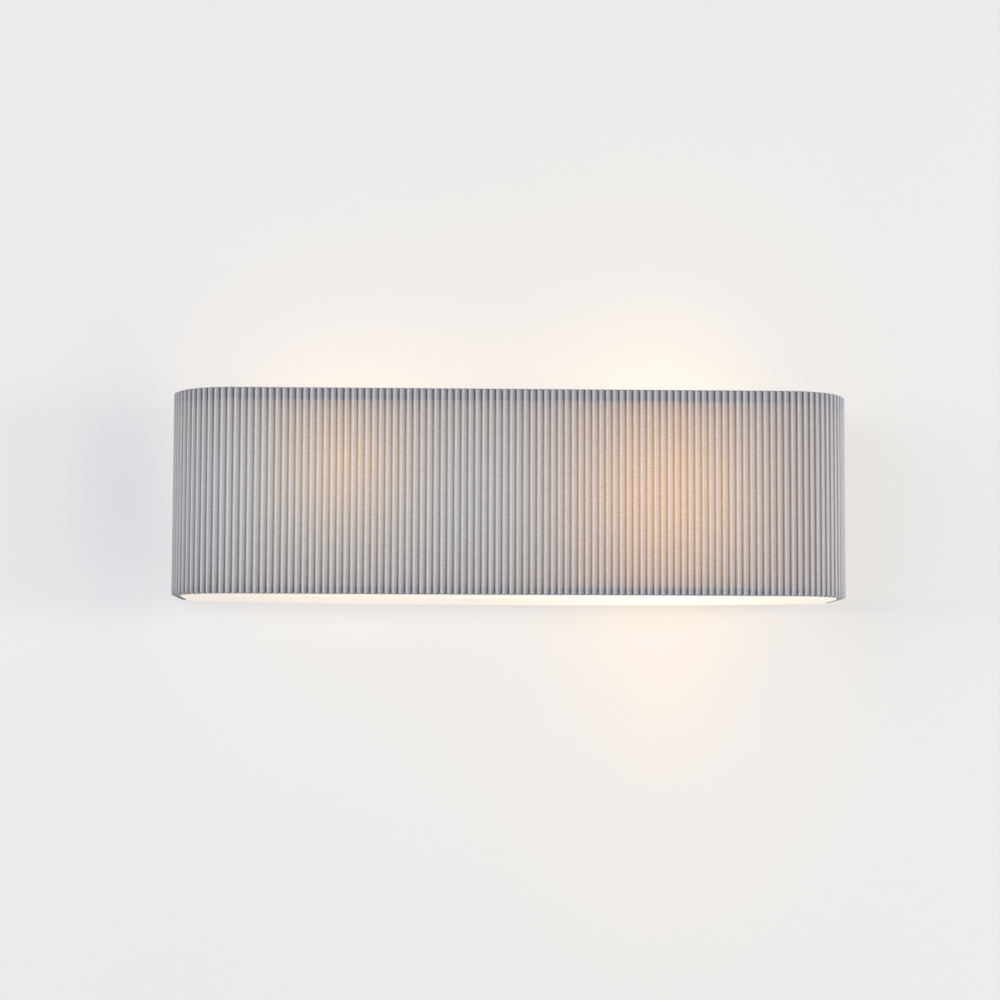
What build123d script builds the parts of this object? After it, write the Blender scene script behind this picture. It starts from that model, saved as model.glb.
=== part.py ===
"""Wall light with a half shade of ribbed fabric, in millimetres.

The wall is the plane y = 0 and the light stands out of it towards -Y, with +Z up.
The origin is the middle of the wall bracket's back face.
"""

import math
import os

from build123d import *

os.makedirs("parts", exist_ok=True)

# Shade
shade_width = 400
shade_height = 120
shade_depth = 100
corner_radius = 39  # front corners of the skin, in plan
wall_gap = 1  # from the wall to the shade's back edges
rib_count = 141
rib_depth = 1.3
fabric_thickness = 0.4  # behind the valleys of the ribs
liner_thickness = 0.6
wire_diameter = 2
hem_thickness = 0.3  # over the edges of the liner and round the rings
hem_end_gap = 1  # from the uprights to the ends of the hems
ring_back = 4  # from the wall to the middle of a ring's back bar
ring_back_radius = 4

# Carrier strip that the shade hangs by
carrier_width = 16
carrier_thickness = 1.5
carrier_leg = 10
slot_width = 4.8

# Diffuser tray
tray_wall = 1.5
tray_fillet = 2.3  # outside, along the edge of the floor
tray_gap = 0.3  # from the hem to the tray's wall
tray_back_gap = 2.5  # from the rings' back bars to the tray
tray_back_radius = 12
tray_drop = 0.8  # how far the tray's ends hang below the shade
tray_sag = 1.5  # how much lower its middle hangs
lip_thickness = 1.2
lip_gap = 0.8  # from the liner to the edge of the lip
lip_clearance = 0.5  # under the lip, down to the hem
lip_end_gap = 3  # from the uprights to the ends of the lip

# Wall bracket
bracket_length = 210
bracket_height = 36
bracket_thickness = 2
bracket_corner = 5
wall_slot_spacing = 140
wall_slot_length = 14
wall_slot_width = 5.2
stud_spacing = 184
stud_reach = 5.5  # in front of the pan
m4_diameter = 4
cable_hole = 16
cable_bore = 9
grommet_lip = 2
grommet_flange = 1.5

# Back pan
pan_end_gap = 3.9  # from the pan to the carrier's legs
pan_depth = 22
pan_sheet = 1
pan_corner = 4
fold_radius = 1.5
hole_gap = 0.2
nut_flats = 7
nut_height = 3.2
nut_cap = 3.8
nut_shoulder = 0.3

# Terminal block, its screws and the earth
pole_pitch = 9
block_x = 31.5
block_height = 18
block_depth = 14
block_corner = 1
insert_diameter = 5
insert_bore = 3
insert_setback = 1
terminal_screw_diameter = 2.8
screw_sink = 0.5
driver_slot = 0.8
block_screw_diameter = 3
block_screw_head = 4.4
block_screw_sink = 3
earth_x = -27
earth_level = 20
earth_head = 8
earth_head_height = 2.6
tag_thickness = 0.8
tag_radius = 4.5
barrel_length = 6

# Thumbscrews and the clinch nuts under them
thumbscrew_spacing = 220
thumbscrew_head = 12
thumbscrew_head_height = 7
thumbscrew_shank = 9
thumbscrew_gap = 0.3  # over and under the carrier, with the screws eased
thumbscrew_clearance = 1.4  # over the heads, up to the ring
knurl_count = 30
knurl_radius = 0.35
clinch_radius = 4
clinch_height = 4
clinch_wall = 0.6
running_gap = 0.05

# Lamps and lampholders
lamp_clearance = 0.5  # from the tips of the pan nuts to the globes
lamp_height = 10  # above the middle
globe_radius = 22.5
lamp_length = 78
glass_thickness = 1
dome_overlap = 5  # the dome goes this far past the globe's middle
base_bulge = 2.6  # how far the base's flank bows out
neck_radius = 8
cap_radius = 6.95
cap_length = 25
cap_engagement = 22
cap_collar = 3.2
thread_depth = 0.6
thread_pitch = 2.82
thread_turns = 5
tip_height = 1.5
contact_radius = 2.4
thread_gap = 0.08
holder_length = 38
holder_radius = 13
holder_back = 3.5
holder_floor = 2
chamber_radius = 10.5
skirt_radius = 11
skirt_length = 15
mouth_radius = 8.3
shell_radius = 7.8
shell_length = 16
shell_setback = 2.5
seat_gap = 1.5
nipple_radius = 5
nipple_bore = 3.7
nipple_length = 14
locknut_flats = 14
locknut_thickness = 3
holder_plate = 1.5
holder_plate_width = 28
holder_plate_front = 14  # in front of the lamp's axis
foot_length = 28
foot_screw_inset = 8
foot_screw_spacing = 16
foot_screw_diameter = 2.8
foot_screw_head = 1.8
foot_screw_length = 5.5

# Leads
lead_diameter = 2.2
lead_spacing = 2.6
lead_drop = 7.3  # from the clinch nuts down to the leads' long runs
lead_edge = 9  # from the pan's end to the middle of each pair of wires
lead_bend = 8
wire_grip = 7  # how far a wire goes into the block
grommet_bore = 5.8

# Places worked out from the sizes above, heights and depths first
rim = shade_height / 2
slope = math.sqrt(0.5)  # the sine of 45 degrees
liner_inset = rib_depth + fabric_thickness
liner_back = liner_inset + liner_thickness
wire_radius = wire_diameter / 2
wire_inset = liner_back + wire_radius
hem_radius = wire_radius + hem_thickness
ring_level = rim - hem_thickness - wire_radius
head_top = ring_level - wire_radius - thumbscrew_clearance
head_level = head_top - thumbscrew_head_height
strip_level = head_level - thumbscrew_gap - carrier_thickness
pan_top = strip_level - thumbscrew_gap
upright_back = ring_back + ring_back_radius + wire_radius
hem_wall_gap = upright_back + wire_radius + hem_end_gap
flange_middle = pan_depth / 2
lamp_reach = pan_depth + nut_height + nut_cap + lamp_clearance + globe_radius
pan_front = Plane.XZ.offset(pan_depth)
bracket_front = Plane.XZ.offset(bracket_thickness)
bore_level = bracket_thickness + block_depth / 2  # from the wall to the terminals' bores
block_screw_x = block_x - pole_pitch / 2
lead_level = pan_top - pan_sheet - clinch_height - lead_drop - (lead_spacing + lead_diameter) / 2

# Places along X, from the shade's end inwards
carrier_end = shade_width / 2 - wire_inset - wire_radius
pan_end = carrier_end - carrier_thickness - pan_end_gap
lead_exit = pan_end - lead_edge
nipple_end = lead_exit - lead_bend
holder_end = nipple_end - 1 - locknut_thickness - holder_plate
holder_mouth = holder_end - holder_length
cap_end = holder_mouth + cap_engagement
globe_tip = cap_end - lamp_length
globe_centre = globe_tip + globe_radius

side_run = shade_depth - wall_gap - corner_radius
corner_run = math.pi / 2 * corner_radius
front_run = shade_width - 2 * corner_radius
skin_run = 2 * side_run + 2 * corner_run + front_run


def skin_point(run, inset):
    """The point of the plan a given run along the skin, from its left back edge.

    The skin goes along the left side, round a quarter turn, along the front, round the
    other quarter turn and back along the right side. The point is inset behind the skin.
    """
    x_middle = front_run / 2
    y_middle = -(shade_depth - corner_radius)
    reach = corner_radius - inset
    run -= side_run
    if run < 0:
        return (-x_middle - reach, y_middle - run)
    if run < corner_run:
        turn = math.pi + run / corner_radius
        return (-x_middle + reach * math.cos(turn), y_middle + reach * math.sin(turn))
    run -= corner_run
    if run < front_run:
        return (-x_middle + run, y_middle - reach)
    run -= front_run
    if run < corner_run:
        turn = 1.5 * math.pi + run / corner_radius
        return (x_middle + reach * math.cos(turn), y_middle + reach * math.sin(turn))
    return (x_middle + reach, y_middle + run - corner_run)


def skin_corners(inset, back):
    """The corners of the skin's plan, inset behind it, ending back from the wall."""
    side = shade_width / 2 - inset
    front = shade_depth - inset
    return [(-side, -back), (-side, -front), (side, -front), (side, -back)]


def skin_band(outer_inset, inner_inset, back):
    """The plan of a wall that follows the skin, between two insets."""
    with BuildSketch() as band:
        with BuildLine():
            outer = FilletPolyline(
                *skin_corners(outer_inset, back), radius=corner_radius - outer_inset
            )
            inner = FilletPolyline(
                *skin_corners(inner_inset, back), radius=corner_radius - inner_inset
            )
            Line(outer @ 0, inner @ 0)
            Line(outer @ 1, inner @ 1)
        make_face()
    return band.sketch


tray_inset = wire_inset + hem_radius + tray_gap


def tray_plan(inset):
    """The plan of the diffuser tray, inset from the outside of its wall."""
    side = shade_width / 2 - tray_inset - inset
    front = shade_depth - tray_inset - inset
    back = ring_back + wire_radius + tray_back_gap + inset
    front_radius = corner_radius - tray_inset - inset
    back_radius = tray_back_radius - inset
    with BuildSketch() as plan:
        with BuildLine():
            FilletPolyline(
                (-side, -back),
                (-side, -front),
                (side, -front),
                (side, -back),
                radius=[back_radius, front_radius, front_radius, back_radius],
                close=True,
            )
        make_face()
    return plan.sketch


# Ribbed fabric: round ribs outside, smooth behind
with BuildPart() as shade_fabric:
    with BuildSketch(Plane.XY.offset(-rim)):
        with BuildLine():
            pitch = skin_run / rib_count
            for rib in range(rib_count):
                ThreePointArc(
                    skin_point(rib * pitch, rib_depth),
                    skin_point((rib + 0.5) * pitch, 0),
                    skin_point((rib + 1) * pitch, rib_depth),
                )
            back_line = FilletPolyline(
                *skin_corners(liner_inset, wall_gap), radius=corner_radius - liner_inset
            )
            Line(skin_point(0, rib_depth), back_line @ 0)
            Line(skin_point(skin_run, rib_depth), back_line @ 1)
        make_face()
    extrude(amount=shade_height)
shade_fabric.part.label = "shade_fabric"
export_step(shade_fabric.part, "parts/shade_fabric.step")

# Liner: the translucent sheet that the fabric is glued to
with BuildPart() as shade_liner:
    with BuildSketch(Plane.XY.offset(hem_thickness - rim)):
        add(skin_band(liner_inset, liner_inset + liner_thickness, wall_gap))
    extrude(amount=shade_height - 2 * hem_thickness)
shade_liner.part.label = "shade_liner"
export_step(shade_liner.part, "parts/shade_liner.step")

# Wire rings: closed loops with a straight back bar
ring_corners = skin_corners(wire_inset, ring_back)
ring_front_radius = corner_radius - wire_inset
for name, level in (("top_ring", ring_level), ("bottom_ring", -ring_level)):
    with BuildPart() as ring:
        with BuildLine(Plane.XY.offset(level)) as loop:
            FilletPolyline(
                *ring_corners,
                radius=[
                    ring_back_radius,
                    ring_front_radius,
                    ring_front_radius,
                    ring_back_radius,
                ],
                close=True,
            )
        with BuildSketch(Plane(origin=loop.line @ 0, z_dir=loop.line % 0)):
            Circle(wire_radius)
        sweep()
    ring.part.label = name
    export_step(ring.part, f"parts/{name}.step")

# Hems: the fabric turned over the liner's edge and a ring, and back at 45 degrees to the liner
hem_start = Plane(
    origin=(-shade_width / 2, -hem_wall_gap, 0), x_dir=(1, 0, 0), z_dir=(0, -1, 0)
)
outer_leave = (wire_inset + slope * hem_radius, ring_level - slope * hem_radius)
inner_leave = (wire_inset + slope * wire_radius, ring_level - slope * wire_radius)
outer_end = (liner_back, outer_leave[1] - (outer_leave[0] - liner_back))
inner_end = (liner_back, inner_leave[1] - (inner_leave[0] - liner_back))
with BuildPart() as top_hem:
    with BuildLine():
        FilletPolyline(*skin_corners(0, hem_wall_gap), radius=corner_radius)
    with BuildSketch(hem_start):
        with BuildLine():
            over = Line((liner_inset, rim), (wire_inset, rim))
            round_out = ThreePointArc(
                over @ 1, (wire_inset + hem_radius, ring_level), outer_leave
            )
            Polyline(round_out @ 1, outer_end, inner_end, inner_leave)
            under = ThreePointArc(
                inner_leave,
                (wire_inset + wire_radius, ring_level),
                (wire_inset, rim - hem_thickness),
            )
            Polyline(under @ 1, (liner_inset, rim - hem_thickness), over @ 0)
        make_face()
    sweep()
top_hem.part.label = "top_hem"
export_step(top_hem.part, "parts/top_hem.step")

with BuildPart() as bottom_hem:
    mirror(top_hem.part, about=Plane.XY)
bottom_hem.part.label = "bottom_hem"
export_step(bottom_hem.part, "parts/bottom_hem.step")

# Uprights: wires between the rings, against the liner and just in front of the rings' turns
for side, sign in (("left", -1), ("right", 1)):
    with BuildPart() as upright:
        with BuildSketch(Plane.XY.offset(wire_radius - ring_level)):
            with Locations((sign * (shade_width / 2 - wire_inset), -upright_back)):
                Circle(wire_radius)
        extrude(amount=2 * (ring_level - wire_radius))
    upright.part.label = f"upright_{side}"
    export_step(upright.part, f"parts/upright_{side}.step")

# Carrier: a strip whose ends turn down along the uprights, with two slots open to the wall
carrier_back = flange_middle - carrier_width / 2
with BuildPart() as shade_carrier:
    with BuildSketch(Plane.XZ.offset(carrier_back)):
        with Locations((0, strip_level + carrier_thickness)):
            Rectangle(2 * carrier_end, carrier_leg, align=(Align.CENTER, Align.MAX))
        with Locations((0, strip_level)):
            Rectangle(
                2 * (carrier_end - carrier_thickness),
                carrier_leg - carrier_thickness,
                align=(Align.CENTER, Align.MAX),
                mode=Mode.SUBTRACT,
            )
    extrude(amount=carrier_width)
    top_edges = shade_carrier.faces().sort_by(Axis.Z)[-1].edges().filter_by(Axis.Y)
    fillet(top_edges, carrier_thickness)
    with BuildSketch(Plane.XY.offset(strip_level)):
        with Locations((0, -flange_middle)):
            with GridLocations(thumbscrew_spacing, 1, 2, 1):
                Circle(slot_width / 2)
                Rectangle(slot_width, carrier_width, align=(Align.CENTER, Align.MIN))
    extrude(amount=carrier_thickness, mode=Mode.SUBTRACT)
shade_carrier.part.label = "shade_carrier"
export_step(shade_carrier.part, "parts/shade_carrier.step")

# Diffuser: an opal tray whose lip lies over the bottom hem, and whose floor sags
lip_inset = liner_back + lip_gap
lip_wall_gap = upright_back + wire_radius + lip_end_gap
tray_top = lip_thickness + lip_clearance - lip_gap - outer_end[1]
tray_end = -rim - tray_drop


def tray_block(inset, top):
    """The tray's outer solid, or its hollow, inset from it on every side and cut off at top."""
    end = tray_end + inset
    side = shade_width / 2
    with BuildPart() as block:
        with BuildSketch(Plane.XY.offset(end - 2 * tray_sag)):
            add(tray_plan(inset))
        extrude(amount=top - end + 2 * tray_sag)
        with BuildSketch(Plane.XZ):
            with BuildLine():
                floor_line = ThreePointArc((-side, end), (0, end - tray_sag), (side, end))
                Polyline(floor_line @ 1, (side, top + 1), (-side, top + 1), floor_line @ 0)
            make_face()
        extrude(amount=shade_depth, mode=Mode.INTERSECT)
        fillet(block.faces().sort_by(Axis.Z)[0].edges(), tray_fillet - inset)
    return block.part


with BuildPart() as diffuser:
    add(tray_block(0, tray_top))
    with BuildSketch(Plane.XY.offset(tray_top - lip_thickness)):
        add(skin_band(lip_inset, tray_inset + tray_wall / 2, lip_wall_gap))
    extrude(amount=lip_thickness)
    add(tray_block(tray_wall, tray_top + 1), mode=Mode.SUBTRACT)
diffuser.part.label = "diffuser"
export_step(diffuser.part, "parts/diffuser.step")

# Wall bracket: a plated strap with two wall slots, a hole for the supply and tapped holes
with BuildPart() as wall_bracket:
    with BuildSketch(Plane.XZ):
        RectangleRounded(bracket_length, bracket_height, bracket_corner)
        with GridLocations(wall_slot_spacing, 1, 2, 1):
            SlotOverall(wall_slot_length, wall_slot_width, mode=Mode.SUBTRACT)
        with GridLocations(stud_spacing, 1, 2, 1):
            Circle(m4_diameter / 2, mode=Mode.SUBTRACT)
        Circle(cable_hole / 2, mode=Mode.SUBTRACT)
        with Locations((block_screw_x, 0)):
            Circle(block_screw_diameter / 2, mode=Mode.SUBTRACT)
        with Locations((earth_x, 0)):
            Circle(m4_diameter / 2, mode=Mode.SUBTRACT)
    extrude(amount=bracket_thickness)
wall_bracket.part.label = "wall_bracket"
export_step(wall_bracket.part, "parts/wall_bracket.step")

# Two studs pressed into the strap, which carry the pan
with BuildPart() as bracket_studs:
    with BuildSketch(Plane.XZ):
        with GridLocations(stud_spacing, 1, 2, 1):
            Circle(m4_diameter / 2)
    extrude(amount=pan_depth + stud_reach)
bracket_studs.part.label = "bracket_studs"
export_step(bracket_studs.part, "parts/bracket_studs.step")

# Rubber bush where the supply comes out of the wall
with BuildPart() as cable_grommet:
    with BuildSketch(Plane.XZ):
        Circle(cable_hole / 2)
    extrude(amount=bracket_thickness)
    with BuildSketch(bracket_front):
        Circle(cable_hole / 2 + grommet_lip)
    extrude(amount=grommet_flange)
    fillet(cable_grommet.faces().sort_by(Axis.Y)[0].edges(), grommet_flange / 2)
    with BuildSketch(Plane.XZ):
        Circle(cable_bore / 2)
    extrude(amount=bracket_thickness + grommet_flange, mode=Mode.SUBTRACT)
cable_grommet.part.label = "cable_grommet"
export_step(cable_grommet.part, "parts/cable_grommet.step")

# Terminal block: a nylon body with a brass tube in each pole, and two screws a pole
pole_places = [(block_x + pole * pole_pitch, -bore_level) for pole in (-1, 0, 1)]
block_front = bracket_front.offset(block_depth)
with BuildPart() as terminal_block:
    with BuildSketch(bracket_front):
        with Locations((block_x, 0)):
            RectangleRounded(pole_pitch * len(pole_places), block_height, block_corner)
    extrude(amount=block_depth)
    with BuildSketch(Plane.XY.offset(-block_height / 2)):
        with Locations(*pole_places):
            Circle(insert_diameter / 2)
    extrude(amount=block_height, mode=Mode.SUBTRACT)
    with BuildSketch(block_front):
        with Locations((block_x, 0)):
            with GridLocations(pole_pitch, block_height / 2, len(pole_places), 2):
                Circle(terminal_screw_diameter / 2)
    extrude(amount=-block_depth / 2, mode=Mode.SUBTRACT)
    with BuildSketch(bracket_front):
        with Locations((block_screw_x, 0)):
            Circle(block_screw_diameter / 2)
    extrude(amount=block_depth, mode=Mode.SUBTRACT)
    with BuildSketch(block_front):
        with Locations((block_screw_x, 0)):
            Circle(block_screw_head / 2)
    extrude(amount=-block_screw_sink, mode=Mode.SUBTRACT)
terminal_block.part.label = "terminal_block"
export_step(terminal_block.part, "parts/terminal_block.step")

insert_length = block_height - 2 * insert_setback
with BuildPart() as terminal_inserts:
    with BuildSketch(Plane.XY.offset(-insert_length / 2)):
        with Locations(*pole_places):
            Circle(insert_diameter / 2)
            Circle(insert_bore / 2, mode=Mode.SUBTRACT)
    extrude(amount=insert_length)
    with BuildSketch(block_front):
        with Locations((block_x, 0)):
            with GridLocations(pole_pitch, block_height / 2, len(pole_places), 2):
                Circle(terminal_screw_diameter / 2)
    extrude(amount=-block_depth / 2, mode=Mode.SUBTRACT)
terminal_inserts.part.label = "terminal_inserts"
export_step(terminal_inserts.part, "parts/terminal_inserts.step")

screw_tip = bore_level + lead_diameter / 2
screw_top = bracket_thickness + block_depth - screw_sink
with BuildPart() as terminal_screws:
    with BuildSketch(Plane.XZ.offset(screw_tip)):
        with Locations((block_x, 0)):
            with GridLocations(pole_pitch, block_height / 2, len(pole_places), 2):
                Circle(terminal_screw_diameter / 2)
    extrude(amount=screw_top - screw_tip)
    with BuildSketch(Plane.XZ.offset(screw_top)):
        with Locations((block_x, 0)):
            with GridLocations(pole_pitch, block_height / 2, len(pole_places), 2):
                Rectangle(terminal_screw_diameter, driver_slot)
    extrude(amount=-driver_slot, mode=Mode.SUBTRACT)
terminal_screws.part.label = "terminal_screws"
export_step(terminal_screws.part, "parts/terminal_screws.step")

with BuildPart() as terminal_block_screw:
    with BuildSketch(Plane.XZ):
        with Locations((block_screw_x, 0)):
            Circle(block_screw_diameter / 2)
    extrude(amount=bracket_thickness + block_depth - block_screw_sink)
    with BuildSketch(block_front.offset(-block_screw_sink)):
        with Locations((block_screw_x, 0)):
            Circle(block_screw_head / 2)
            Rectangle(block_screw_head, driver_slot, mode=Mode.SUBTRACT)
    extrude(amount=block_screw_sink - screw_sink)
terminal_block_screw.part.label = "terminal_block_screw"
export_step(terminal_block_screw.part, "parts/terminal_block_screw.step")

# Earth: a screw in the strap, and a wire that ends in a ring tag under its head
with BuildPart() as earth_screw:
    with BuildSketch(Plane.XZ):
        with Locations((earth_x, 0)):
            Circle(m4_diameter / 2)
    extrude(amount=bracket_thickness + tag_thickness)
    with BuildSketch(bracket_front.offset(tag_thickness)):
        with Locations((earth_x, 0)):
            Circle(earth_head / 2)
    extrude(amount=earth_head_height)
    fillet(earth_screw.faces().sort_by(Axis.Y)[0].edges(), earth_head_height / 3)
    with BuildSketch(bracket_front.offset(tag_thickness + earth_head_height)):
        with Locations((earth_x, 0)):
            Rectangle(earth_head, driver_slot)
    extrude(amount=-driver_slot, mode=Mode.SUBTRACT)
earth_screw.part.label = "earth_screw"
export_step(earth_screw.part, "parts/earth_screw.step")

barrel_radius = lead_diameter / 2 + tag_thickness
tag_wire_level = bracket_thickness + barrel_radius
wire_start = block_height / 2 - wire_grip
with BuildPart() as earth_lead:
    with BuildLine() as earth_route:
        FilletPolyline(
            (block_x - pole_pitch, -bore_level, -wire_start),
            (block_x - pole_pitch, -bore_level, -earth_level),
            (earth_x / 3, -bore_level, -earth_level),
            (earth_x, -tag_wire_level, -earth_level),
            (earth_x, -tag_wire_level, -tag_radius),
            radius=[lead_bend, lead_bend, lead_bend],
        )
    with BuildSketch(Plane(origin=earth_route.line @ 0, z_dir=earth_route.line % 0)):
        Circle(lead_diameter / 2)
    sweep()
    with BuildSketch(bracket_front):
        with Locations((earth_x, 0)):
            Circle(tag_radius)
            Circle(m4_diameter / 2, mode=Mode.SUBTRACT)
    extrude(amount=tag_thickness)
    with BuildSketch(Plane.XY.offset(-tag_radius)):
        with Locations((earth_x, -tag_wire_level)):
            Circle(barrel_radius)
    extrude(amount=-barrel_length)
    with BuildSketch(bracket_front):
        with Locations((earth_x, -tag_radius + tag_thickness)):
            Rectangle(2 * barrel_radius, 2 * tag_thickness, align=(Align.CENTER, Align.MAX))
    extrude(amount=tag_thickness)
earth_lead.part.label = "earth_lead"
export_step(earth_lead.part, "parts/earth_lead.step")

# Back pan: a folded steel tray, open to the wall
foot_screw_x = holder_end + holder_plate - foot_length + foot_screw_inset
with BuildPart() as back_pan:
    with BuildSketch(Plane.XZ):
        RectangleRounded(2 * pan_end, 2 * pan_top, pan_corner)
    extrude(amount=pan_depth)
    fillet(back_pan.faces().sort_by(Axis.Y)[0].edges(), fold_radius)
    with BuildSketch(Plane.XZ):
        RectangleRounded(
            2 * (pan_end - pan_sheet), 2 * (pan_top - pan_sheet), pan_corner - pan_sheet
        )
    extrude(amount=pan_depth - pan_sheet, mode=Mode.SUBTRACT)
    with BuildSketch(pan_front):
        with GridLocations(stud_spacing, 1, 2, 1):
            Circle(m4_diameter / 2 + hole_gap)
        with Locations((0, lamp_height)):
            with GridLocations(2 * lead_exit, 1, 2, 1):
                Circle(grommet_bore / 2 + grommet_flange)
            with GridLocations(2 * foot_screw_x, foot_screw_spacing, 2, 2):
                Circle(foot_screw_diameter / 2)
    extrude(amount=-pan_sheet, mode=Mode.SUBTRACT)
    with BuildSketch(Plane.XY.offset(pan_top)):
        with Locations((0, -flange_middle)):
            with GridLocations(thumbscrew_spacing, 1, 2, 1):
                Circle(m4_diameter / 2 + clinch_wall)
    extrude(amount=-pan_sheet, mode=Mode.SUBTRACT)
back_pan.part.label = "back_pan"
export_step(back_pan.part, "parts/back_pan.step")

# Cap nuts that hold the pan on the studs
with BuildPart() as pan_nuts:
    with BuildSketch(pan_front):
        with GridLocations(stud_spacing, 1, 2, 1):
            RegularPolygon(nut_flats / 2, 6, major_radius=False)
    extrude(amount=nut_height)
    with BuildSketch(pan_front.offset(nut_height)):
        with GridLocations(stud_spacing, 1, 2, 1):
            Circle(nut_flats / 2 - nut_shoulder)
    extrude(amount=nut_cap)
    fillet(pan_nuts.faces().group_by(Axis.Y)[0].edges(), nut_flats / 2 - nut_shoulder - 0.1)
    with BuildSketch(pan_front):
        with GridLocations(stud_spacing, 1, 2, 1):
            Circle(m4_diameter / 2)
    extrude(amount=stud_reach, mode=Mode.SUBTRACT)
pan_nuts.part.label = "pan_nuts"
export_step(pan_nuts.part, "parts/pan_nuts.step")

# Rubber grommets where the leads come through the pan
with BuildPart() as lead_grommets:
    with BuildSketch(pan_front.offset(grommet_flange)):
        with Locations((0, lamp_height)):
            with GridLocations(2 * lead_exit, 1, 2, 1):
                Circle(grommet_bore / 2 + 2 * grommet_flange)
                Circle(grommet_bore / 2, mode=Mode.SUBTRACT)
    extrude(amount=-grommet_flange)
    with BuildSketch(pan_front):
        with Locations((0, lamp_height)):
            with GridLocations(2 * lead_exit, 1, 2, 1):
                Circle(grommet_bore / 2 + grommet_flange)
                Circle(grommet_bore / 2, mode=Mode.SUBTRACT)
    extrude(amount=-pan_sheet)
    with BuildSketch(pan_front.offset(-pan_sheet)):
        with Locations((0, lamp_height)):
            with GridLocations(2 * lead_exit, 1, 2, 1):
                Circle(grommet_bore / 2 + 2 * grommet_flange)
                Circle(grommet_bore / 2, mode=Mode.SUBTRACT)
    extrude(amount=-grommet_flange)
lead_grommets.part.label = "lead_grommets"
export_step(lead_grommets.part, "parts/lead_grommets.step")

# Clinch nuts pressed up into the pan's top flange, which the thumbscrews turn in
with BuildPart() as clinch_nuts:
    with BuildSketch(Plane.XY.offset(pan_top)):
        with Locations((0, -flange_middle)):
            with GridLocations(thumbscrew_spacing, 1, 2, 1):
                Circle(m4_diameter / 2 + clinch_wall)
                Circle(m4_diameter / 2 + running_gap, mode=Mode.SUBTRACT)
    extrude(amount=-pan_sheet)
    with BuildSketch(Plane.XY.offset(pan_top - pan_sheet)):
        with Locations((0, -flange_middle)):
            with GridLocations(thumbscrew_spacing, 1, 2, 1):
                Circle(clinch_radius)
                Circle(m4_diameter / 2 + running_gap, mode=Mode.SUBTRACT)
    extrude(amount=-clinch_height)
clinch_nuts.part.label = "clinch_nuts"
export_step(clinch_nuts.part, "parts/clinch_nuts.step")


def export_pair(piece, name):
    """Writes a piece of the right side, and its mirror image on the left."""
    piece.label = f"{name}_right"
    export_step(piece, f"parts/{name}_right.step")
    with BuildPart() as other:
        mirror(piece, about=Plane.YZ)
    other.part.label = f"{name}_left"
    export_step(other.part, f"parts/{name}_left.step")


# Holder brackets: steel angles on the pan, with a hole for the lampholder's nipple
plate_end = holder_end + holder_plate
with BuildPart() as holder_bracket:
    with BuildSketch(Plane.XY.offset(lamp_height - holder_plate_width / 2)):
        with Locations((plate_end, -pan_depth)):
            Rectangle(foot_length, holder_plate, align=(Align.MAX, Align.MAX))
            Rectangle(
                holder_plate,
                lamp_reach + holder_plate_front - pan_depth,
                align=(Align.MAX, Align.MAX),
            )
    extrude(amount=holder_plate_width)
    front_edges = holder_bracket.faces().sort_by(Axis.Y)[0].edges().filter_by(Axis.X)
    fillet(front_edges, holder_plate_width / 3)
    with BuildSketch(Plane.YZ.offset(holder_end)):
        with Locations((-lamp_reach, lamp_height)):
            Circle(nipple_radius)
    extrude(amount=holder_plate, mode=Mode.SUBTRACT)
    with BuildSketch(pan_front):
        with Locations((foot_screw_x, lamp_height)):
            with GridLocations(1, foot_screw_spacing, 1, 2):
                Circle(foot_screw_diameter / 2)
    extrude(amount=holder_plate, mode=Mode.SUBTRACT)
export_pair(holder_bracket.part, "holder_bracket")

with BuildPart() as bracket_screws:
    with BuildSketch(pan_front.offset(holder_plate)):
        with Locations((0, lamp_height)):
            with GridLocations(2 * foot_screw_x, foot_screw_spacing, 2, 2):
                Circle(foot_screw_diameter)
    extrude(amount=foot_screw_head)
    fillet(bracket_screws.faces().group_by(Axis.Y)[0].edges(), foot_screw_head / 2)
    with BuildSketch(pan_front.offset(holder_plate + foot_screw_head)):
        with Locations((0, lamp_height)):
            with GridLocations(2 * foot_screw_x, foot_screw_spacing, 2, 2):
                Rectangle(2 * foot_screw_diameter, driver_slot)
    extrude(amount=-driver_slot, mode=Mode.SUBTRACT)
    with BuildSketch(pan_front.offset(holder_plate)):
        with Locations((0, lamp_height)):
            with GridLocations(2 * foot_screw_x, foot_screw_spacing, 2, 2):
                Circle(foot_screw_diameter / 2)
    extrude(amount=-foot_screw_length)
bracket_screws.part.label = "bracket_screws"
export_step(bracket_screws.part, "parts/bracket_screws.step")

# Lampholders and lamps are turned about the lamps' axis, drawn as distance along it and radius
lamp_plane = Plane(origin=(0, -lamp_reach, lamp_height), x_dir=(1, 0, 0), z_dir=(0, -1, 0))
lamp_axis = Axis((0, -lamp_reach, lamp_height), (1, 0, 0))
seat = cap_end + seat_gap
chamber_start = seat + holder_floor
shell_start = holder_mouth + shell_setback
shoulder = holder_mouth + skirt_length
with BuildPart() as lampholder:
    with BuildSketch(lamp_plane):
        with BuildLine():
            Polyline(
                (seat, 0),
                (seat, shell_radius),
                (shell_start, shell_radius),
                (shell_start, mouth_radius),
                (holder_mouth, mouth_radius),
                (holder_mouth, skirt_radius),
                (shoulder, skirt_radius),
                (shoulder + holder_radius - skirt_radius, holder_radius),
                (holder_end - 1, holder_radius),
                (holder_end, holder_radius - 1),
                (holder_end, nipple_radius),
                (holder_end - holder_back, nipple_radius),
                (holder_end - holder_back, chamber_radius),
                (chamber_start, chamber_radius),
                (chamber_start, 0),
                close=True,
            )
        make_face()
    revolve(axis=lamp_axis)
export_pair(lampholder.part, "lampholder")

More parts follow.
